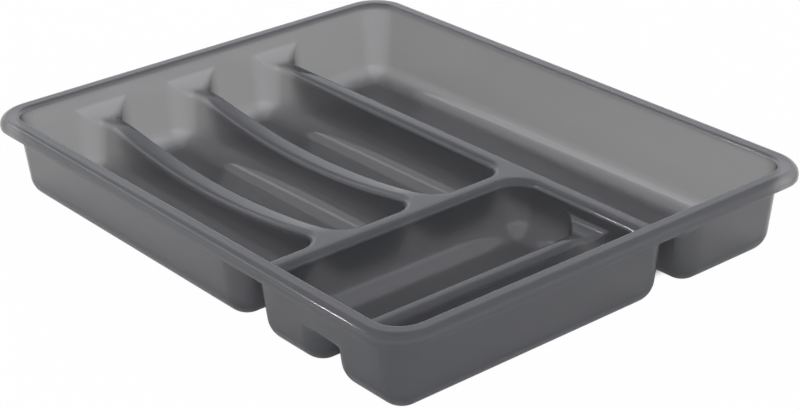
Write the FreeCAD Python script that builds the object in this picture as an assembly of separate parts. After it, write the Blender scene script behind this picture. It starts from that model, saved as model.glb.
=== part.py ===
# Cutlery tray: one thin-walled moulding with a rolled rim, three lanes, a wide side lane
# and a front compartment of two troughs. Each section of the moulding is its own solid,
# and neighbouring sections meet face to face.
# +X right, +Y back, +Z up. The origin is under the centre of the rim, on the rest plane.
import FreeCAD, Part
import math
import os

# Overall size, mm
tray_width = 320.0            # X, over the rim
tray_length = 400.0           # Y, over the rim
tray_height = 56.0            # rest plane to rim top
wall = 1.8                    # moulded wall, the same everywhere
draft_degrees = 6.0           # lean of every upright wall

# Rim: a flat lip rolled over into a short skirt
rim_width = 11.4              # inner wall face to skirt face, at the rim top
rim_skirt = 7.4               # rim top to skirt edge
rim_outer_round = 5.2         # over the lip's outer edge
rim_inner_round = 2.3         # over the lip's inner edge
rim_corner_radius = 25.0      # skirt face, in plan

# Pockets, with their plan sizes taken at the height of the divider tops
pocket_corner_radius = 14.0   # upright corners, inner face
corner_share = 0.45           # most of a pocket's narrow side that one corner takes
floor_round = 12.0            # floor to wall, inner face
side_lane_width = 83.0        # full-length lane on the right
front_length = 122.4          # front wall to cross divider
front_trough_length = 57.1    # front wall to ridge

# Hollow dividers between the pockets
divider_drop = 19.5           # rim top to the flat divider tops
divider_width = 13.0          # over the top
divider_ramp_radius = 9.4     # divider top up into an outer wall

# Ridge between the two troughs of the front compartment
ridge_drop = 14.5             # flat divider tops to the ridge top
ridge_width = 12.0            # over the top
ridge_ramp_radius = 8.0       # ridge top up into the end walls

# Dip along the tops of the left and middle dividers
dip_depth = 9.4               # below the flat divider tops
dip_front_land = 11.7         # flat top between the cross divider and the dip
dip_back_land = 23.0          # flat top between the dip and the back wall

# Floor plates
floor_margin = 2.0            # plate edge to the start of the floor round

slope = math.tan(math.radians(draft_degrees))
lean = math.cos(math.radians(draft_degrees))
reach = tray_width + tray_length
mitre_depth = tray_width / 4.0
above_rim = tray_height + wall
skirt_z = tray_height - rim_skirt
divider_height = tray_height - divider_drop
ridge_height = divider_height - ridge_drop
half_divider = divider_width / 2.0
half_ridge = ridge_width / 2.0 - ridge_drop * slope

# Faces round the pockets, at the height of the divider tops
inner_x = tray_width / 2.0 - rim_width - divider_drop * slope
inner_y = tray_length / 2.0 - rim_width - divider_drop * slope
cross_front = front_length - inner_y
cross_back = cross_front + divider_width
right_back = inner_x - side_lane_width
right_face = right_back - divider_width
lane_width = (right_face + inner_x - 2.0 * divider_width) / 3.0

# Centre lines of the dividers and the ridge
right_divider_x = right_face + half_divider
middle_divider_x = right_divider_x - lane_width - divider_width
left_divider_x = middle_divider_x - lane_width - divider_width
cross_divider_y = cross_front + half_divider
ridge_y = front_trough_length + half_ridge - inner_y

basin = (-inner_x, inner_x, -inner_y, inner_y)
front_basin = (-inner_x, right_face, -inner_y, cross_front)
pockets = {
    "left_lane": (-inner_x, left_divider_x - half_divider, cross_back, inner_y),
    "middle_lane": (left_divider_x + half_divider, middle_divider_x - half_divider,
                    cross_back, inner_y),
    "right_lane": (middle_divider_x + half_divider, right_face, cross_back, inner_y),
    "side_lane": (right_back, inner_x, -inner_y, inner_y),
    "rear_trough": (-inner_x, right_face, ridge_y + half_ridge, cross_front),
    "front_trough": (-inner_x, right_face, -inner_y, ridge_y - half_ridge),
}


def box(x0, x1, y0, y1, z0, z1):
    return Part.makeBox(x1 - x0, y1 - y0, z1 - z0, FreeCAD.Vector(x0, y0, z0))


def prism(corners, z0, z1):
    base = flat_face([FreeCAD.Vector(x, y, z0) for x, y in corners])
    return base.extrude(FreeCAD.Vector(0, 0, z1 - z0))


def upright_edges(shape):
    return [edge for edge in shape.Edges
            if abs(edge.Vertexes[0].Z - edge.Vertexes[-1].Z) > wall]


def edges_at(shape, z):
    near = wall / 1000.0
    return [edge for edge in shape.Edges
            if all(abs(vertex.Z - z) < near for vertex in edge.Vertexes)]


def rectangle_at(rect, grow, z):
    # Corners at height z of a pocket whose faces are given at the divider tops.
    x0, x1, y0, y1 = rect
    out = grow + (z - divider_height) * slope
    corners = [(x0 - out, y0 - out), (x1 + out, y0 - out),
               (x1 + out, y1 + out), (x0 - out, y1 + out)]
    return [FreeCAD.Vector(x, y, z) for x, y in corners]


def flat_face(points):
    return Part.Face(Part.makePolygon(points + points[:1]))


def leaning_block(low, high):
    # Solid between two level rectangles, with flat leaning sides.
    sides = []
    for k in range(4):
        n = (k + 1) % 4
        sides.append(flat_face([low[k], low[n], high[n], high[k]]))
    return Part.makeSolid(Part.makeShell(sides + [flat_face(low), flat_face(high)]))


def corner_radius(rect, bottom):
    # Upright corners of a pocket, limited by its narrow side at the floor.
    x0, x1, y0, y1 = rect
    narrow = min(x1 - x0, y1 - y0) - 2.0 * (divider_height - bottom) * slope
    return min(pocket_corner_radius, corner_share * narrow)


def tub(rect, skin, bottom, top, bottom_round):
    # Space of one pocket: leaning walls, round upright corners and a round floor edge.
    # skin 0 is the inner face of the moulding, skin 1 the outer face one wall further out.
    low_z = bottom - skin * wall
    low = rectangle_at(rect, skin * wall / lean, low_z)
    high = rectangle_at(rect, skin * wall / lean, top)
    shape = leaning_block(low, high)
    shape = shape.makeFillet(corner_radius(rect, bottom) + skin * wall, upright_edges(shape))
    if bottom_round:
        shape = shape.makeFillet(bottom_round + skin * wall, edges_at(shape, low_z))
    return shape


def dip(centre_x, skin):
    # Space over a dipped divider top: a shallow arc carried straight across the divider.
    front_y = cross_back + dip_front_land
    back_y = inner_y - dip_back_land
    half_length = (back_y - front_y) / 2.0
    radius = (half_length ** 2 + dip_depth ** 2) / (2.0 * dip_depth)
    x0 = centre_x - divider_width
    x1 = centre_x + divider_width
    low_z = divider_height - dip_depth
    centre = FreeCAD.Vector(x0, front_y + half_length, low_z + radius)
    drum = Part.makeCylinder(radius + skin * wall, x1 - x0, centre, FreeCAD.Vector(1, 0, 0))
    return drum.common(box(x0, x1, -reach, reach, 0.0, divider_height))


def basin_space(skin):
    # Space over the divider tops, which ramp up into the outer walls.
    return tub(basin, skin, divider_height, above_rim, divider_ramp_radius)


def pocket_spaces(skin):
    return [tub(rect, skin, wall, above_rim, floor_round) for rect in pockets.values()]


def tray_space(skin):
    # All the space inside one skin of the moulding, from the floors to above the rim.
    spaces = [basin_space(skin), tub(front_basin, skin, ridge_height, above_rim, ridge_ramp_radius)]
    spaces += pocket_spaces(skin)
    spaces += [dip(x, skin) for x in (left_divider_x, middle_divider_x)]
    return spaces[0].fuse(spaces[1:])


def round_block(inset, z0, z1, top_round):
    x = tray_width / 2.0 - inset
    y = tray_length / 2.0 - inset
    block = box(-x, x, -y, y, z0, z1)
    block = block.makeFillet(rim_corner_radius - inset, upright_edges(block))
    return block.makeFillet(top_round, edges_at(block, z1))


def rim():
    # Lip and skirt, with the top of the wall that carries them.
    under = round_block(wall, skirt_z, tray_height - wall, rim_outer_round - wall)
    lip = round_block(0.0, skirt_z, tray_height, rim_outer_round)
    lip = lip.cut(under.cut(basin_space(1))).cut(basin_space(0))
    mouth_x = tray_width / 2.0 - rim_width + wall
    mouth_y = tray_length / 2.0 - rim_width + wall
    mouth = [edge for edge in edges_at(lip, tray_height)
             if all(abs(v.X) < mouth_x and abs(v.Y) < mouth_y for v in edge.Vertexes)]
    return lip.makeFillet(rim_inner_round, mouth)


def side_cells(z0, z1):
    # Four cells round the tray, mitred at its corners.
    x = tray_width / 2.0
    y = tray_length / 2.0
    ix = x - mitre_depth
    iy = y - mitre_depth
    outer = [(-x, -y), (x, -y), (x, y), (-x, y)]
    inner = [(-ix, -iy), (ix, -iy), (ix, iy), (-ix, iy)]
    cells = {}
    for k, side in enumerate(("front", "right", "back", "left")):
        n = (k + 1) % 4
        cells[side] = prism([outer[k], outer[n], inner[n], inner[k]], z0, z1)
    return cells


def lower_cells():
    # One cell for each pocket and one for each divider top, split at the walls' outer faces.
    gap = half_divider - wall / lean
    ridge_gap = ridge_width / 2.0 - wall / lean
    x0 = -tray_width / 2.0
    x1 = tray_width / 2.0
    y0 = -tray_length / 2.0
    y1 = tray_length / 2.0
    left = (left_divider_x - gap, left_divider_x + gap)
    middle = (middle_divider_x - gap, middle_divider_x + gap)
    right = (right_divider_x - gap, right_divider_x + gap)
    cross = (cross_divider_y - gap, cross_divider_y + gap)
    ridge = (ridge_y - ridge_gap, ridge_y + ridge_gap)
    plans = {
        "left_lane_pocket": (x0, left[0], cross[1], y1),
        "middle_lane_pocket": (left[1], middle[0], cross[1], y1),
        "right_lane_pocket": (middle[1], right[0], cross[1], y1),
        "side_lane_pocket": (right[1], x1, y0, y1),
        "rear_trough_pocket": (x0, right[0], ridge[1], cross[0]),
        "front_trough_pocket": (x0, right[0], y0, ridge[0]),
        "left_divider_top": (left[0], left[1], cross[1], y1),
        "middle_divider_top": (middle[0], middle[1], cross[1], y1),
        "right_divider_top": (right[0], right[1], y0, y1),
        "cross_divider_top": (x0, right[0], cross[0], cross[1]),
        "ridge_top": (x0, right[0], ridge[0], ridge[1]),
    }
    return {name: box(*plan, 0.0, divider_height) for name, plan in plans.items()}


def floor_plate(rect):
    # Flat middle of a pocket's floor, inside the floor round.
    x0, x1, y0, y1 = rect
    tangent = floor_round * math.tan(math.radians(45.0 - draft_degrees / 2.0))
    inset = (divider_height - wall) * slope + tangent + floor_margin
    return box(x0 + inset, x1 - inset, y0 + inset, y1 - inset, 0.0, wall)


def section(shape, cell):
    # The part of the moulding that lies in one cell.
    return shape.common(cell).removeSplitter()


shell = tray_space(1).cut(tray_space(0))
lip = rim()
floors = {name: floor_plate(rect) for name, rect in pockets.items()}

nodes = {name + "_floor": plate for name, plate in floors.items()}
for name, cell in lower_cells().items():
    piece = section(shell, cell)
    if name.endswith("_pocket"):
        piece = piece.cut(floors[name[:-len("_pocket")]])
    nodes[name] = piece
for side, cell in side_cells(divider_height, skirt_z).items():
    nodes[side + "_wall"] = section(shell, cell)
for side, cell in side_cells(skirt_z, tray_height).items():
    nodes[side + "_rim"] = section(lip, cell)

os.makedirs("parts", exist_ok=True)
for name, piece in nodes.items():
    print(name, len(piece.Solids), piece.isValid(), round(piece.Volume))
    piece.exportStep("parts/" + name + ".step")
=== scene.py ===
import math

import bmesh
import bpy
import numpy as np
from mathutils import Matrix, Vector


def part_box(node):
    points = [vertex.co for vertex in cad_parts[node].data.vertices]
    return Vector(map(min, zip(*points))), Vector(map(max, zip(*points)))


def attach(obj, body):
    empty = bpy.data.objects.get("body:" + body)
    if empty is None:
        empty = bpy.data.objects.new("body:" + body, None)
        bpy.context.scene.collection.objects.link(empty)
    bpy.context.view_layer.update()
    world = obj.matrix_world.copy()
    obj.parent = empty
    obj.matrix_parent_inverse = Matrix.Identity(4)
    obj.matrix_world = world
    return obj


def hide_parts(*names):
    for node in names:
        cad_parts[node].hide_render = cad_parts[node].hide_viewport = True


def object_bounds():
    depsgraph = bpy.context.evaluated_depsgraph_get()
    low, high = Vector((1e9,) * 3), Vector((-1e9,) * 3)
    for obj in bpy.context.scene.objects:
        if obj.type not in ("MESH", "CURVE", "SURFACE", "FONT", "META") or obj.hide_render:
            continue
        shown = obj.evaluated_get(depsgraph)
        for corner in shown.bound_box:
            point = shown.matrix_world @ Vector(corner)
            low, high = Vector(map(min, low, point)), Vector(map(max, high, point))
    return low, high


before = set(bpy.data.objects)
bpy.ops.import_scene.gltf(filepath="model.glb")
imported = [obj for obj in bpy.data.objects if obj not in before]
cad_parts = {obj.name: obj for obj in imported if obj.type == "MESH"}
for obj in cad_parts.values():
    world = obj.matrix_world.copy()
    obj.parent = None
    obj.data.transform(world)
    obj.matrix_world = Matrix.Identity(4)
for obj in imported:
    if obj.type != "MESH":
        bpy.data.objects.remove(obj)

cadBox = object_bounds()
mm = 0.001
print("frame loaded:", len(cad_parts), "nodes")


# Places taken from the solids

def centreOf(node, axis):
    # Middle of a node's box along one axis
    low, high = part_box(node)
    return (low[axis] + high[axis]) / 2


trayHalf = (cadBox[1].x, cadBox[1].y)
trayTop = cadBox[1].z
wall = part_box("left_lane_floor")[1].z
leftLine = centreOf("left_divider_top", 0)
middleLine = centreOf("middle_divider_top", 0)
rightLine = centreOf("right_divider_top", 0)
crossLine = centreOf("cross_divider_top", 1)
ridgeLine = centreOf("ridge_top", 1)
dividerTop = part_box("right_divider_top")[1].z
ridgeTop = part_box("ridge_top")[0].z + wall
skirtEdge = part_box("front_rim")[0].z

moulding = {
    "draft": math.radians(6.0),      # lean of every upright wall
    "rimWidth": 11.4 * mm,           # inner wall to skirt face at the rim top
    "rimOuterRound": 5.2 * mm,
    "rimInnerRound": 2.3 * mm,
    "rimUnderRound": 1.0 * mm,       # under the lip, against the wall
    "skirtEdgeRound": 0.6 * mm,
    "rimCorner": 25.0 * mm,          # skirt face in plan
    "pocketCorner": 15.4 * mm,       # upright corners, at the height of the divider tops
    "cornerTaper": 0.9,              # how much of the lean the corners take up as they go down
    "floorRound": 12.0 * mm,
    "dividerHalf": 6.5 * mm,         # half of a divider's top
    "ridgeHalf": 6.0 * mm,
    "edgeRound": 4.4 * mm,           # upper edges of dividers and ridge
    "edgeFade": 0.5,                 # edge round over distance to the end wall
    "dividerRamp": 9.4 * mm,         # divider top up into an outer wall
    "ridgeRamp": 8.0 * mm,
    "dipDepth": 9.4 * mm,
    "dipFrontLand": 11.7 * mm,       # flat top between the cross divider and the dip
    "dipBackLand": 23.0 * mm,        # flat top between the dip and the back wall
    "dipBlend": 1.6 * mm,            # softens both ends of the dip
    "dipReach": 27.0 * mm,           # either side of a dipped divider
    "innerJoin": 53.0 * mm,          # where the inner wall hands over to the rim
    "outerJoin": 51.0 * mm,
    "floorStart": 0.8 * mm,          # first ring, outside the corner box
    "innerRows": 44,                 # points along a rib of the inner skin
    "outerRows": 30,
    "stepLength": 18.0 * mm,         # longest step along a path
    "stepTurn": math.radians(6.5),   # largest turn in one step
    "outerTurn": 3.0,                # times that, along the sides of the outer skin
    "rimPoints": (9, 13, 5, 5, 9, 6),    # on the rim's rounds, from the inner face to the outer face
    "trialPoints": 4001,             # along a side, before its ribs are placed
    "trialRows": 260,                # along a rib, before its rows are placed
    "searchInside": 1.0 * mm,        # how far the search for a rib goes inside its corner box,
    "searchOver": 4.0 * mm,          # over the tray
    "searchPast": 3.0,               # and past an outer wall, in wall thicknesses
    "normalStep": 0.02 * mm,         # either side of a point, for the slope of its space field
    "weld": 0.002 * mm,              # points of neighbouring cells closer than this are one
}
slope = math.tan(moulding["draft"])
lean = math.cos(moulding["draft"])
cornerRadius = moulding["pocketCorner"]
wallDrop = trayTop - dividerTop
innerHalf = [h - moulding["rimWidth"] - wallDrop * slope for h in trayHalf]
ridgeHalfUp = moulding["ridgeHalf"] - (dividerTop - ridgeTop) * slope

# Cells meet on the divider lines. None is an outer wall.
cells = {
    "leftLane": {"x": (None, leftLine), "y": (crossLine, None)},
    "middleLane": {"x": (leftLine, middleLine), "y": (crossLine, None)},
    "rightLane": {"x": (middleLine, rightLine), "y": (crossLine, None)},
    "sideLane": {"x": (rightLine, None), "y": (None, None)},
    "rearTrough": {"x": (None, rightLine), "y": (ridgeLine, crossLine)},
    "frontTrough": {"x": (None, rightLine), "y": (None, ridgeLine)},
}
sideNames = ("front", "right", "back", "left")
# Sides that take their points from the cell across the divider
borrowed = {
    ("middleLane", "left"): [("leftLane", "right")],
    ("rightLane", "left"): [("middleLane", "right")],
    ("rearTrough", "back"): [("leftLane", "front"), ("middleLane", "front"), ("rightLane", "front")],
    ("frontTrough", "back"): [("rearTrough", "front")],
    ("sideLane", "left"): [("frontTrough", "right"), ("rearTrough", "right"), ("rightLane", "right")],
}


def faceOf(lines, axis, end):
    # Pocket face at the height of the divider tops
    line = lines[end]
    sign = (-1, 1)[end]
    if line is None:
        return sign * innerHalf[axis]
    half = ridgeHalfUp if line == ridgeLine else moulding["dividerHalf"]
    return line - sign * half


for cell in cells.values():
    cell["rect"] = [faceOf(cell[a], k, e) for k, a in enumerate("xy") for e in (0, 1)]
basinRect = [-innerHalf[0], innerHalf[0], -innerHalf[1], innerHalf[1]]
frontRect = [-innerHalf[0], rightLine - moulding["dividerHalf"],
             -innerHalf[1], crossLine - moulding["dividerHalf"]]


# Space fields: negative in the open space, positive in the plastic

def roundedRect(x, y, rect, grow, radius):
    # Distance to a rectangle with round corners: the corner box, less the radius
    qx = np.abs(x - (rect[0] + rect[1]) / 2) - (rect[1] - rect[0]) / 2 - grow + radius
    qy = np.abs(y - (rect[2] + rect[3]) / 2) - (rect[3] - rect[2]) / 2 - grow + radius
    outside = np.hypot(np.maximum(qx, 0), np.maximum(qy, 0))
    return outside + np.minimum(np.maximum(qx, qy), 0) - radius


def both(a, b, r):
    # Inside both spaces: the larger distance, with a quarter circle of radius r where the two meet
    return np.minimum(-r, np.maximum(a, b)) + np.hypot(np.maximum(r + a, 0), np.maximum(r + b, 0))


def either(a, b, r):
    # Inside either space: the smaller distance, with the edge between them rounded by r
    return np.maximum(r, np.minimum(a, b)) - np.hypot(np.maximum(r - a, 0), np.maximum(r - b, 0))


def cornerAt(z, skin):
    # Radius of the upright corners, which narrow towards the floor
    return cornerRadius + (z - dividerTop) * slope * moulding["cornerTaper"] + skin * wall


def topHeight(x, y):
    # Divider tops: flat, with a shallow arc along the left and middle dividers
    front = crossLine + moulding["dividerHalf"] + moulding["dipFrontLand"]
    back = innerHalf[1] - moulding["dipBackLand"]
    half = (back - front) / 2
    along = y - (back + front) / 2
    radius = (half ** 2 + moulding["dipDepth"] ** 2) / (2 * moulding["dipDepth"])
    arc = dividerTop - moulding["dipDepth"] + radius - np.sqrt(np.maximum(radius ** 2 - along ** 2, 0))
    blend = moulding["dipBlend"]
    soft = np.maximum(blend - np.abs(arc - dividerTop), 0) / blend
    dipped = np.minimum(arc, dividerTop) - soft ** 2 * blend / 4
    near = np.minimum(np.abs(x - leftLine), np.abs(x - middleLine)) < moulding["dipReach"]
    return np.where(near, dipped, dividerTop)


def field(name, skin, x, y, z):
    # The pocket, or the space over the ridge, or the space over the dividers. Skin 0 is the inner
    # face of the moulding, skin 1 the outer face, one wall further out.
    off = skin * wall
    grow = (z - dividerTop) * slope + off / lean
    corner = cornerAt(z, skin)
    walls = lean * roundedRect(x, y, basinRect, grow, corner)
    pocket = lean * roundedRect(x, y, cells[name]["rect"], grow, corner)
    space = both(pocket, wall - off - z, moulding["floorRound"] + off)
    edge = moulding["edgeRound"] - off
    if name.endswith("Trough"):
        ends = lean * roundedRect(x, y, frontRect, grow, corner)
        above = both(ends, ridgeTop - off - z, moulding["ridgeRamp"] + off)
        space = either(space, above, np.clip(-ends * moulding["edgeFade"], 0, edge))
    over = both(walls, topHeight(x, y) - off - z, moulding["dividerRamp"] + off)
    return either(space, over, np.clip(-walls * moulding["edgeFade"], 0, edge))


def bisect(test, low, high, steps=48):
    # Halves the range until the sign change is found, on whole arrays
    for _ in range(steps):
        mid = (low + high) / 2
        solid = test(mid) > 0
        high = np.where(solid, mid, high)
        low = np.where(solid, low, mid)
    return (low + high) / 2


def standing(name, skin, x, y):
    # Height of the surface over a point in plan
    deepest = np.full_like(x, trayTop + wall)
    depth = bisect(lambda d: field(name, skin, x, y, trayTop - d), np.zeros_like(x), deepest)
    return trayTop - depth


def spread(u, weights, count):
    # Places count values of u at even shares of the summed weights, row by row
    total = np.concatenate([np.zeros((len(weights), 1)), np.cumsum(weights, axis=1)], axis=1)
    total /= total[:, -1:]
    rows = 2.0 * np.arange(len(weights))[:, None]
    want = np.linspace(0, 1, count)[None, :] + rows
    return np.interp(want.ravel(), (total + rows).ravel(), u.ravel()).reshape(len(weights), count)


def bends(a, b):
    # Turn of a line of points, shared between the steps on both sides
    angle = np.unwrap(np.arctan2(np.diff(b, axis=-1), np.diff(a, axis=-1)), axis=-1)
    turn = np.abs(np.diff(angle, axis=-1)) / 2
    zero = np.zeros(turn.shape[:-1] + (1,))
    return np.concatenate([turn, zero], axis=-1) + np.concatenate([zero, turn], axis=-1)


def wallAt(axis, skin):
    # Outer wall face at the height where it hands over to the rim
    z = moulding["outerJoin"] if skin else moulding["innerJoin"]
    return innerHalf[axis] + (z - dividerTop) * slope + skin * wall / lean


def limits(cell, axis, skin):
    # Both ends of a cell along one axis: divider lines or outer wall faces
    lines = cell["xy"[axis]]
    reach = wallAt(axis, skin)
    return [(-reach, reach)[e] if lines[e] is None else lines[e] for e in (0, 1)]


def sideLine(cell, side, skin, along):
    # Points in plan along one side of a cell
    axis = 0 if side in ("front", "back") else 1
    fixed = limits(cell, 1 - axis, skin)[0 if side in ("front", "left") else 1]
    level = np.full_like(along, fixed)
    return (along, level) if axis == 0 else (level, along)


def ribFeet(cell, x, y):
    # Nearest point of the pocket's corner box, and the way from it to the side
    x0, x1, y0, y1 = cell["rect"]
    bx = np.clip(x, x0 + cornerRadius, x1 - cornerRadius)
    by = np.clip(y, y0 + cornerRadius, y1 - cornerRadius)
    reach = np.hypot(x - bx, y - by)
    return bx, by, (x - bx) / reach, (y - by) / reach, reach


def isWall(cell, side):
    # Whether this side of a cell is an outer wall of the tray
    lines = cell["y" if side in ("front", "back") else "x"]
    return lines[0 if side in ("front", "left") else 1] is None


sidePoints = {}


def alongSide(name, side, skin):
    # Places along one side of a cell, closer where the side climbs or the ribs fan out
    cell = cells[name]
    if (name, side) in borrowed:
        parts = [alongSide(n, s, skin) for n, s in borrowed[name, side]]
        return np.concatenate([p[:-1] for p in parts[:-1]] + [parts[-1]])
    if (name, side, skin) in sidePoints:
        return sidePoints[name, side, skin]
    axis = 0 if side in ("front", "back") else 1
    if skin and isWall(cell, side):
        inner = alongSide(name, side, 0)
        box = innerHalf[axis] - cornerRadius
        scale = (wallAt(axis, 1) - box) / (wallAt(axis, 0) - box)
        found = np.where(np.abs(inner) > box, np.sign(inner) * (box + (np.abs(inner) - box) * scale), inner)
    else:
        fine = np.linspace(*limits(cell, axis, skin), moulding["trialPoints"])
        x, y = sideLine(cell, side, skin, fine)
        height = np.zeros_like(fine) if isWall(cell, side) else standing(name, skin, x, y)
        nx, ny = ribFeet(cell, x, y)[2:4]
        fan = np.abs(np.diff(np.unwrap(np.arctan2(ny, nx))))
        climbTurn = moulding["stepTurn"] * (moulding["outerTurn"] if skin else 1)
        weights = np.hypot(np.diff(fine), np.diff(height)) / moulding["stepLength"]
        weights += fan / moulding["stepTurn"] + bends(fine, height) / climbTurn
        count = int(math.ceil(weights.sum())) + 1
        found = spread(fine, weights[None, :], count)[0]
    sidePoints[name, side, skin] = found
    return found


def cellRibs(name, skin):
    # One rib for each point round the cell, counter-clockwise from the front left
    cell = cells[name]
    xs, ys, wallSide = [], [], []
    for side in sideNames:
        along = alongSide(name, side, skin)
        along = along if side in ("front", "right") else along[::-1]
        x, y = sideLine(cell, side, skin, along)
        flags = np.full(len(along), isWall(cell, side))
        before = sideNames[sideNames.index(side) - 1]
        flags[0] |= isWall(cell, before)
        xs.append(x[:-1])
        ys.append(y[:-1])
        wallSide.append(flags[:-1])
    return np.concatenate(xs), np.concatenate(ys), np.concatenate(wallSide)


def cellSurface(name, skin):
    # A rib leaves the corner box and climbs from the floor to the side of its cell. A place on it is
    # found on the slanting line where its reach plus its height is a given level.
    x, y, onWall = cellRibs(name, skin)
    bx, by, nx, ny, reach = [a[:, None] for a in ribFeet(cells[name], x, y)]
    join = moulding["outerJoin"] if skin else moulding["innerJoin"]

    def at(rho, z):
        return field(name, skin, bx + nx * rho, by + ny * rho, z)

    past = moulding["searchPast"] * wall
    wallReach = bisect(lambda r: at(r, np.full_like(r, join)), np.zeros_like(reach), reach + past)
    reach = np.where(onWall[:, None], wallReach, reach)
    endZ = np.where(onWall, join, standing(name, skin, x, y))[:, None]
    floorZ = wall * (1 - skin)
    first = moulding["floorStart"] + floorZ
    last = reach + endZ
    limit = np.where(onWall[:, None], reach + past, reach)
    inside, over = -moulding["searchInside"], trayTop + moulding["searchOver"]

    def solve(u):
        # Reach and height at the shares u of a rib. The unknown t is reach less height.
        level = first + u * (last - first)
        low = np.maximum(2 * inside - level, level - 2 * over)
        high = np.broadcast_to(2 * limit - level, level.shape)
        t = bisect(lambda t: at((level + t) / 2, (level - t) / 2), low, high)
        return (level + t) / 2, (level - t) / 2

    trialRows = moulding["trialRows"]
    trial = np.broadcast_to(np.linspace(0, 1, trialRows), (len(x), trialRows))
    rho, z = solve(trial)
    weights = np.hypot(np.diff(rho, axis=1), np.diff(z, axis=1)) / moulding["stepLength"]
    weights += bends(rho, z) / moulding["stepTurn"]
    rows = moulding["outerRows"] if skin else moulding["innerRows"]
    rho, z = solve(spread(trial, weights, rows))
    rho[:, -1:], z[:, -1:] = reach, endZ
    z[:, 0] = floorZ
    points = np.stack([bx + nx * rho, by + ny * rho, z], axis=-1)

    def fieldAt(shift):
        return field(name, skin, *np.moveaxis(points + shift, -1, 0))

    # Normals follow the slope of the space field
    slopes = [fieldAt(step) - fieldAt(-step) for step in np.eye(3) * moulding["normalStep"]]
    normals = np.stack(slopes, axis=-1) * (1 if skin else -1)
    normals /= np.linalg.norm(normals, axis=-1, keepdims=True)
    return points, normals


def gridFaces(start, count, rows, flip):
    # Quads between neighbouring ribs, with the last rib joined to the first
    i = np.arange(count)[:, None]
    j = np.arange(rows - 1)[None, :]
    n = (i + 1) % count
    quads = np.stack([i * rows + j, i * rows + j + 1, n * rows + j + 1, n * rows + j], axis=-1)
    quads = quads.reshape(-1, 4) + start
    return quads[:, ::-1] if flip else quads


def rimProfile():
    # Offset from the inner wall face at the rim top, and height: up the wall, over the lip, down the
    # skirt, back up under the lip and down the outer face of the wall.
    m = moulding
    out, top, t = m["rimWidth"], trayTop, wall

    def arc(cx, cz, r, start, end, count):
        a = np.radians(np.linspace(start, end, count))
        return np.stack([cx + r * np.cos(a), cz + r * np.sin(a)], axis=1)

    def wallFace(z, skin):
        return (z - top) * slope + skin * t / lean

    def wallEnd(z, skin):
        return np.array([[wallFace(z, skin), z]])

    d = math.degrees(m["draft"])
    ri, ro, ru, re = m["rimInnerRound"], m["rimOuterRound"], m["rimUnderRound"], m["skirtEdgeRound"]
    innerX = wallFace(top - ri, 0) + ri / lean
    underX = wallFace(top - t - ru, 1) + ru / lean
    rounds = [
        # centre, radius, first and last angle
        (innerX, top - ri, ri, 180 - d, 90),
        (out - ro, top - ro, ro, 90, 0),
        (out - re, skirtEdge + re, re, 0, -90),
        (out - t + re, skirtEdge + re, re, -90, -180),
        (out - ro, top - ro, ro - t, 0, 90),
        (underX, top - t - ru, ru, 90, 180 - d),
    ]
    arcs = [arc(*place, count) for place, count in zip(rounds, m["rimPoints"])]
    return np.concatenate([wallEnd(m["innerJoin"], 0), *arcs, wallEnd(m["outerJoin"], 1)])


def rimSurface(innerLoop, outerLoop):
    # The rim's profile carried round the tray. Each ring is its corner box plus its corner radius.
    profile = rimProfile()
    offset, height = profile[:, 0], profile[:, 1]
    topHalf = np.array(trayHalf) - moulding["rimWidth"]
    boxIn = np.array([wallAt(0, 0), wallAt(1, 0)]) - cornerAt(moulding["innerJoin"], 0)
    base = np.clip(innerLoop, -boxIn, boxIn)
    away = (innerLoop - base) / np.linalg.norm(innerLoop - base, axis=1, keepdims=True)
    share = np.clip(offset / moulding["rimWidth"], 0, 1)
    inner = cornerAt(trayTop, 0)
    radius = inner + (moulding["rimCorner"] - inner) * share
    box = topHalf[None, :] + offset[:, None] - radius[:, None]
    plan = base[:, None, :] / boxIn * box[None] + away[:, None, :] * radius[None, :, None]
    plan[:, 0], plan[:, -1] = innerLoop, outerLoop
    z = np.broadcast_to(height, plan.shape[:2])
    step = np.gradient(profile, axis=0)
    step /= np.linalg.norm(step, axis=1, keepdims=True)
    flat = away[:, None, :] * -step[None, :, 1, None]
    normals = np.concatenate([flat, np.broadcast_to(step[:, 0], plan.shape[:2])[..., None]], axis=-1)
    return np.concatenate([plan, z[..., None]], axis=-1), normals


def rimLoop(edges):
    # Wall ends of the ribs in order round the tray, counter-clockwise from the front left corner
    order = [("frontTrough", "front"), ("sideLane", "front"), ("sideLane", "right"), ("sideLane", "back"),
             ("rightLane", "back"), ("middleLane", "back"), ("leftLane", "back"), ("leftLane", "left"),
             ("rearTrough", "left"), ("frontTrough", "left")]
    return np.concatenate([edges[key][:-1] for key in order])


def wallEnds(name, points, skin):
    # Last points of the ribs on each outer wall of a cell
    ends, start, found = points[:, -1, :2], 0, {}
    for side in sideNames:
        count = len(alongSide(name, side, skin)) - 1
        pick = np.arange(start, start + count + 1) % len(ends)
        if isWall(cells[name], side):
            found[name, side] = ends[pick]
        start += count
    return found


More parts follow.
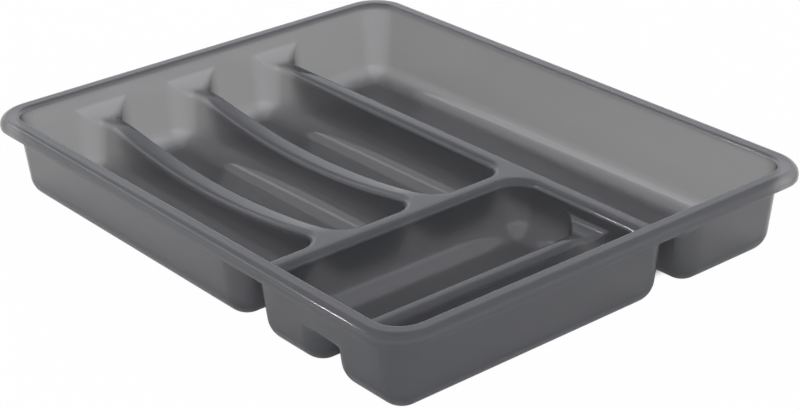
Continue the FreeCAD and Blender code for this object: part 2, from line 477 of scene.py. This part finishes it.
def buildMoulding():
    # One closed skin: the cells inside, the cells outside and the rim between them, welded
    points, normals, quads, caps, loops = [], [], [], [], []

    def keep(grid, around, flip):
        # Stores a ring of ribs and returns the numbers of their first points
        start = sum(len(p) for p in points)
        count, rows = grid.shape[:2]
        points.append(grid.reshape(-1, 3))
        normals.append(around.reshape(-1, 3))
        quads.append(gridFaces(start, count, rows, flip))
        return start + np.arange(count) * rows

    for skin in (0, 1):
        edges = {}
        for name in cells:
            grid, around = cellSurface(name, skin)
            cap = keep(grid, around, skin == 1)
            caps.append(cap[::-1] if skin else cap)
            edges.update(wallEnds(name, grid, skin))
            print("surface", name, "outer" if skin else "inner", len(grid), "ribs")
        loops.append(rimLoop(edges))
    grid, around = rimSurface(*loops)
    keep(grid, around, False)
    print("surface rim", len(grid), "ribs")

    mesh = bpy.data.meshes.new("trayMoulding")
    faces = np.concatenate(quads).tolist() + [c.tolist() for c in caps]
    mesh.from_pydata(np.concatenate(points).tolist(), [], faces)
    stored = mesh.attributes.new("facing", "FLOAT_VECTOR", "POINT")
    stored.data.foreach_set("vector", np.concatenate(normals).ravel())
    work = bmesh.new()
    work.from_mesh(mesh)
    bmesh.ops.remove_doubles(work, verts=work.verts, dist=moulding["weld"])
    openEdges = sum(1 for e in work.edges if not e.is_manifold)
    work.to_mesh(mesh)
    work.free()
    facing = np.zeros(len(mesh.vertices) * 3)
    mesh.attributes["facing"].data.foreach_get("vector", facing)
    mesh.polygons.foreach_set("use_smooth", np.ones(len(mesh.polygons), bool))
    mesh.normals_split_custom_set_from_vertices(facing.reshape(-1, 3))
    mesh.attributes.remove(mesh.attributes["facing"])
    piece = bpy.data.objects.new("tray_moulding", mesh)
    bpy.context.scene.collection.objects.link(piece)
    triangles = sum(len(p.vertices) - 2 for p in mesh.polygons)
    print("moulding:", len(mesh.vertices), "points,", triangles, "triangles,", openEdges, "open edges")
    return piece


tray = buildMoulding()
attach(tray, "root")
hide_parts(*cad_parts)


class Wire:
    # Wraps a socket, so that shader maths reads as plain expressions
    def __init__(self, tree, socket=None):
        self.tree = tree
        self.socket = socket

    def add(self, kind, settings=None, inputs=None, output=0):
        made = self.tree.nodes.new(kind)
        for key, value in (settings or {}).items():
            setattr(made, key, value)
        for key, value in (inputs or {}).items():
            if isinstance(value, Wire):
                self.tree.links.new(value.socket, made.inputs[key])
            else:
                made.inputs[key].default_value = value
        return Wire(self.tree, made.outputs[output] if made.outputs else None)

    def maths(self, operation, first, second):
        return self.add("ShaderNodeMath", {"operation": operation}, {0: first, 1: second})

    def __add__(self, other):
        return self.maths("ADD", self, other)

    __radd__ = __add__

    def __mul__(self, other):
        return self.maths("MULTIPLY", self, other)

    __rmul__ = __mul__

    def __sub__(self, other):
        return self.maths("SUBTRACT", self, other)

    def __rsub__(self, other):
        return self.maths("SUBTRACT", other, self)


def emptyNet(block):
    # Clears the nodes of a material or a world
    block.use_nodes = True
    block.node_tree.nodes.clear()
    return Wire(block.node_tree)


def noise(net, place, scale, detail, rough):
    # Soft random values between 0 and 1, finer with the scale
    return net.add("ShaderNodeTexNoise", None,
                   {"Vector": place, "Scale": scale, "Detail": detail, "Roughness": rough})


plastic = {
    "tint": (0.720, 0.733, 0.780, 1),       # what the plastic throws back
    "tintDeep": (0.660, 0.672, 0.720, 1),   # where the milk in it is thinner
    "smoke": (0.10, 0.07, 0.0, 1),          # what it lets through
    "density": 415.0,
    "clear": 0.92,                          # share of the light that goes in
    "ior": 1.2,                             # of the hazy body, under the gloss
    "haze": 0.52,
    "hazeSpread": 0.10,
    "coat": 1.0,
    "coatRough": 0.05,
    "flow": (9.0, 3.0, 0.55),               # soft clouds of the moulding flow: scale, detail, roughness
    "rub": (260.0, 4.0, 0.6),               # fine rubs on the floors, where cutlery slides
    "rubStretch": (1.0, 0.06, 1.0),         # draws them out along the lanes
    "rubFrom": 0.45,                        # where in the noise they start to show
    "rubTo": 0.75,
    "rubHeight": 0.6 * mm,                  # over the floor, where they end
    "rubHaze": 0.06,
    "rubCoat": 0.25,                        # gloss lost in them
    "grain": (1400.0, 2.0, 0.5),            # very fine grain of the mould
    "grainDepth": 0.004 * mm,
    "grainStrength": 0.6,
}


def smokePlastic():
    # A hazy see-through body under a glossy coat, with smoke that takes light away inside
    made = bpy.data.materials.new("smokePlastic")
    net = emptyNet(made)
    place = net.add("ShaderNodeTexCoord", output="Object")
    flow = noise(net, place, *plastic["flow"])
    tint = net.add("ShaderNodeMix", {"data_type": "RGBA"},
                   {0: flow, 6: plastic["tintDeep"], 7: plastic["tint"]}, output=2)  # the colour sockets
    # Rubs run along the lanes, on the flat floors only
    along = net.add("ShaderNodeVectorMath", {"operation": "MULTIPLY"},
                    {0: place, 1: plastic["rubStretch"]})
    rubs = noise(net, along, *plastic["rub"])
    height = net.add("ShaderNodeSeparateXYZ", None, {0: place}, output="Z")
    onFloor = net.add("ShaderNodeMapRange", None,
                      {"Value": height, "From Min": wall + plastic["rubHeight"], "From Max": wall})
    rubbed = onFloor * net.add("ShaderNodeMapRange", None,
                               {"Value": rubs, "From Min": plastic["rubFrom"], "From Max": plastic["rubTo"]})
    leastHaze = plastic["haze"] - plastic["hazeSpread"] / 2
    haze = flow * plastic["hazeSpread"] + rubbed * plastic["rubHaze"] + leastHaze
    coat = plastic["coat"] - rubbed * plastic["rubCoat"]
    grain = noise(net, place, *plastic["grain"])
    relief = net.add("ShaderNodeBump", None,
                     {"Height": grain, "Distance": plastic["grainDepth"],
                      "Strength": plastic["grainStrength"]})
    skin = net.add("ShaderNodeBsdfPrincipled", None,
                   {"Base Color": tint, "Roughness": haze, "IOR": plastic["ior"], "Normal": relief,
                    "Transmission Weight": plastic["clear"],
                    "Coat Weight": coat, "Coat Roughness": plastic["coatRough"]})
    smoke = net.add("ShaderNodeVolumeAbsorption", None,
                    {"Color": plastic["smoke"], "Density": plastic["density"]})
    net.add("ShaderNodeOutputMaterial", None, {"Surface": skin, "Volume": smoke})
    return made


tray.data.materials.append(smokePlastic())
print("plastic made")

studio = {
    "floorDrop": 0.4 * mm,
    "floorSize": 6.0,
    "floorTint": (0.85, 0.85, 0.85, 1),
    "white": (1, 1, 1, 1),
    "shownInset": 48.0 * mm,        # the camera sees plain white clear of a box this far inside the rim
    "shownFade": 12.0 * mm,
    "shownShare": 0.985,            # the rest is the floor with its shadow
    "mirrorInset": 18.0 * mm,       # gloss and see-through plastic see white clear of this box
    "mirrorFade": 30.0 * mm,
    "mirrorUnderPaintedGlow": 0.11,            # share kept under the tray: painted light, a glow that lights the tray from below
    "mirrorFrontPaintedShade": 0.16,            # white share in front: painted shade, where the tray would throw its shadow
    "shadeWay": (0.63, 0.77, 0.0),  # from the painted shade in front of the tray to the open floor at its back
    "shadeFrom": -0.30,             # metres along that way
    "shadeTo": 0.10,
    "skyTint": (0.955, 0.97, 1.04, 1),
    "lowSky": 0.95,
    "highSky": 0.64,
    "skyFrom": 0.42,                # sine of the height over which the sky dims
    "skyTo": 0.62,
    "bandFrom": 0.2,                # sine of the height of the white band over the floor's far edge
    "bandTo": 0.3,
    "lamps": {
        # place, width and height of the panel, watts
        "strip": ((-0.86, 1.40, 1.14), (1.5, 0.22), 1.2),
        "spark": ((-0.66, 0.55, 0.57), (0.06, 0.06), 0.35),
    },
}


def rays(net, *kinds):
    # For each kind, 1 where such a ray sees the surface and 0 elsewhere
    return [net.add("ShaderNodeLightPath", output=f"Is {kind} Ray") for kind in kinds]


def boxDistance(net, place, inset):
    # How far a point lies outside the tray's outline in plan, drawn in by the inset
    half = (trayHalf[0] - inset, trayHalf[1] - inset, 0)
    past = net.add("ShaderNodeVectorMath", {"operation": "ABSOLUTE"}, {0: place})
    past = net.add("ShaderNodeVectorMath", {"operation": "SUBTRACT"}, {0: past, 1: half})
    past = net.add("ShaderNodeVectorMath", {"operation": "MAXIMUM"}, {0: past, 1: (0, 0, 0)})
    return net.add("ShaderNodeVectorMath", {"operation": "LENGTH"}, {0: past}, output="Value")


def eased(net, value, start, end, low, high):
    # Smooth step from low to high
    return net.add("ShaderNodeMapRange", {"interpolation_type": "SMOOTHSTEP"},
                   {"Value": value, "From Min": start, "From Max": end, "To Min": low, "To Max": high})


def studioFloor():
    # A matt floor that keeps the shadow, shown white away from the tray; gloss and see-through plastic see
    # painted shade in front of the tray and a painted glow under it
    s = studio["floorSize"]
    z = -studio["floorDrop"]
    mesh = bpy.data.meshes.new("studioFloor")
    mesh.from_pydata([(-s, -s, z), (s, -s, z), (s, s, z), (-s, s, z)], [], [(0, 1, 2, 3)])
    plane = bpy.data.objects.new("studioFloor", mesh)
    bpy.context.scene.collection.objects.link(plane)
    made = bpy.data.materials.new("studioFloor")
    net = emptyNet(made)
    camera, glossy, through, diffuse = rays(net, "Camera", "Glossy", "Transmission", "Diffuse")
    place = net.add("ShaderNodeTexCoord", output="Object")
    shown = eased(net, boxDistance(net, place, studio["shownInset"]),
                  0.0, studio["shownFade"], 0.0, studio["shownShare"])
    # Painted light: gloss and see-through plastic still see some white under the tray, which glows up into
    # it
    clear = eased(net, boxDistance(net, place, studio["mirrorInset"]),
                  0.0, studio["mirrorFade"], studio["mirrorUnderPaintedGlow"], 1.0)
    across = net.add("ShaderNodeVectorMath", {"operation": "DOT_PRODUCT"},
                     {0: place, 1: studio["shadeWay"]}, output="Value")
    # Painted shade: the white that gloss and see-through plastic show dims in front of the tray
    paintedFrontShade = eased(net, across, studio["shadeFrom"], studio["shadeTo"], studio["mirrorFrontPaintedShade"], 1.0)
    mirrored = (glossy + through) * (1 - diffuse) * (1 - camera)
    seen = camera * shown + mirrored * paintedFrontShade * clear
    matt = net.add("ShaderNodeBsdfDiffuse", None, {"Color": studio["floorTint"]})
    white = net.add("ShaderNodeEmission", None, {"Color": studio["white"], "Strength": 1.0})
    mixed = net.add("ShaderNodeMixShader", None, {0: seen, 1: matt, 2: white})
    net.add("ShaderNodeOutputMaterial", None, {"Surface": mixed})
    mesh.materials.append(made)


def studioLight():
    # A pale sky, dimmer overhead and shown white at the floor's far edge, and two panels
    world = bpy.data.worlds.new("studioWorld")
    net = emptyNet(world)
    camera, glossy, through = rays(net, "Camera", "Glossy", "Transmission")
    way = net.add("ShaderNodeTexCoord", output="Generated")
    height = net.add("ShaderNodeSeparateXYZ", None, {0: way}, output="Z")
    level = eased(net, height, studio["skyFrom"], studio["skyTo"], studio["lowSky"], studio["highSky"])
    band = eased(net, height, studio["bandFrom"], studio["bandTo"], 1.0, 0.0)
    sky = net.add("ShaderNodeBackground", None, {"Color": studio["skyTint"], "Strength": level})
    white = net.add("ShaderNodeBackground", None, {"Color": studio["white"], "Strength": 1.0})
    mixed = net.add("ShaderNodeMixShader", None, {0: (camera + glossy + through) * band, 1: sky, 2: white})
    net.add("ShaderNodeOutputWorld", None, {"Surface": mixed})
    bpy.context.scene.world = world
    for name, (spot, size, watts) in studio["lamps"].items():
        lamp = bpy.data.lights.new(name, "AREA")
        lamp.shape = "RECTANGLE"
        lamp.size, lamp.size_y = size
        lamp.energy = watts
        rig = bpy.data.objects.new(name, lamp)
        rig.location = spot
        rig.rotation_euler = (-Vector(spot)).to_track_quat("-Z", "Y").to_euler()
        bpy.context.scene.collection.objects.link(rig)


photoCamera = {
    "azimuth": -39.332,     # degrees round the tray, 0 looks along +Y
    "elevation": 25.648,
    "roll": -1.322,
    "distance": 1.23006,
    "target": (-0.010488, -0.025857, 0.023529),
    "lens": 92.633,
    "sensor": 36.0,
}


def setCamera():
    # Back from the target along azimuth and elevation, then rolled about the line of sight
    a, e, r = [math.radians(photoCamera[k]) for k in ("azimuth", "elevation", "roll")]
    back = Vector((math.sin(a) * math.cos(e), -math.cos(a) * math.cos(e), math.sin(e)))
    right = Vector((math.cos(a), math.sin(a), 0))
    up = back.cross(right)
    right, up = math.cos(r) * right + math.sin(r) * up, math.cos(r) * up - math.sin(r) * right
    data = bpy.data.cameras.new("photoCamera")
    data.lens = photoCamera["lens"]
    data.sensor_fit = "HORIZONTAL"
    data.sensor_width = photoCamera["sensor"]
    camera = bpy.data.objects.new("photoCamera", data)
    place = Vector(photoCamera["target"]) + back * photoCamera["distance"]
    turn = Matrix((right, up, back)).transposed().to_4x4()
    camera.matrix_world = Matrix.Translation(place) @ turn
    bpy.context.scene.collection.objects.link(camera)
    bpy.context.scene.camera = camera


studioFloor()
studioLight()
setCamera()
bpy.context.scene.view_settings.view_transform = "Standard"
print("studio set")
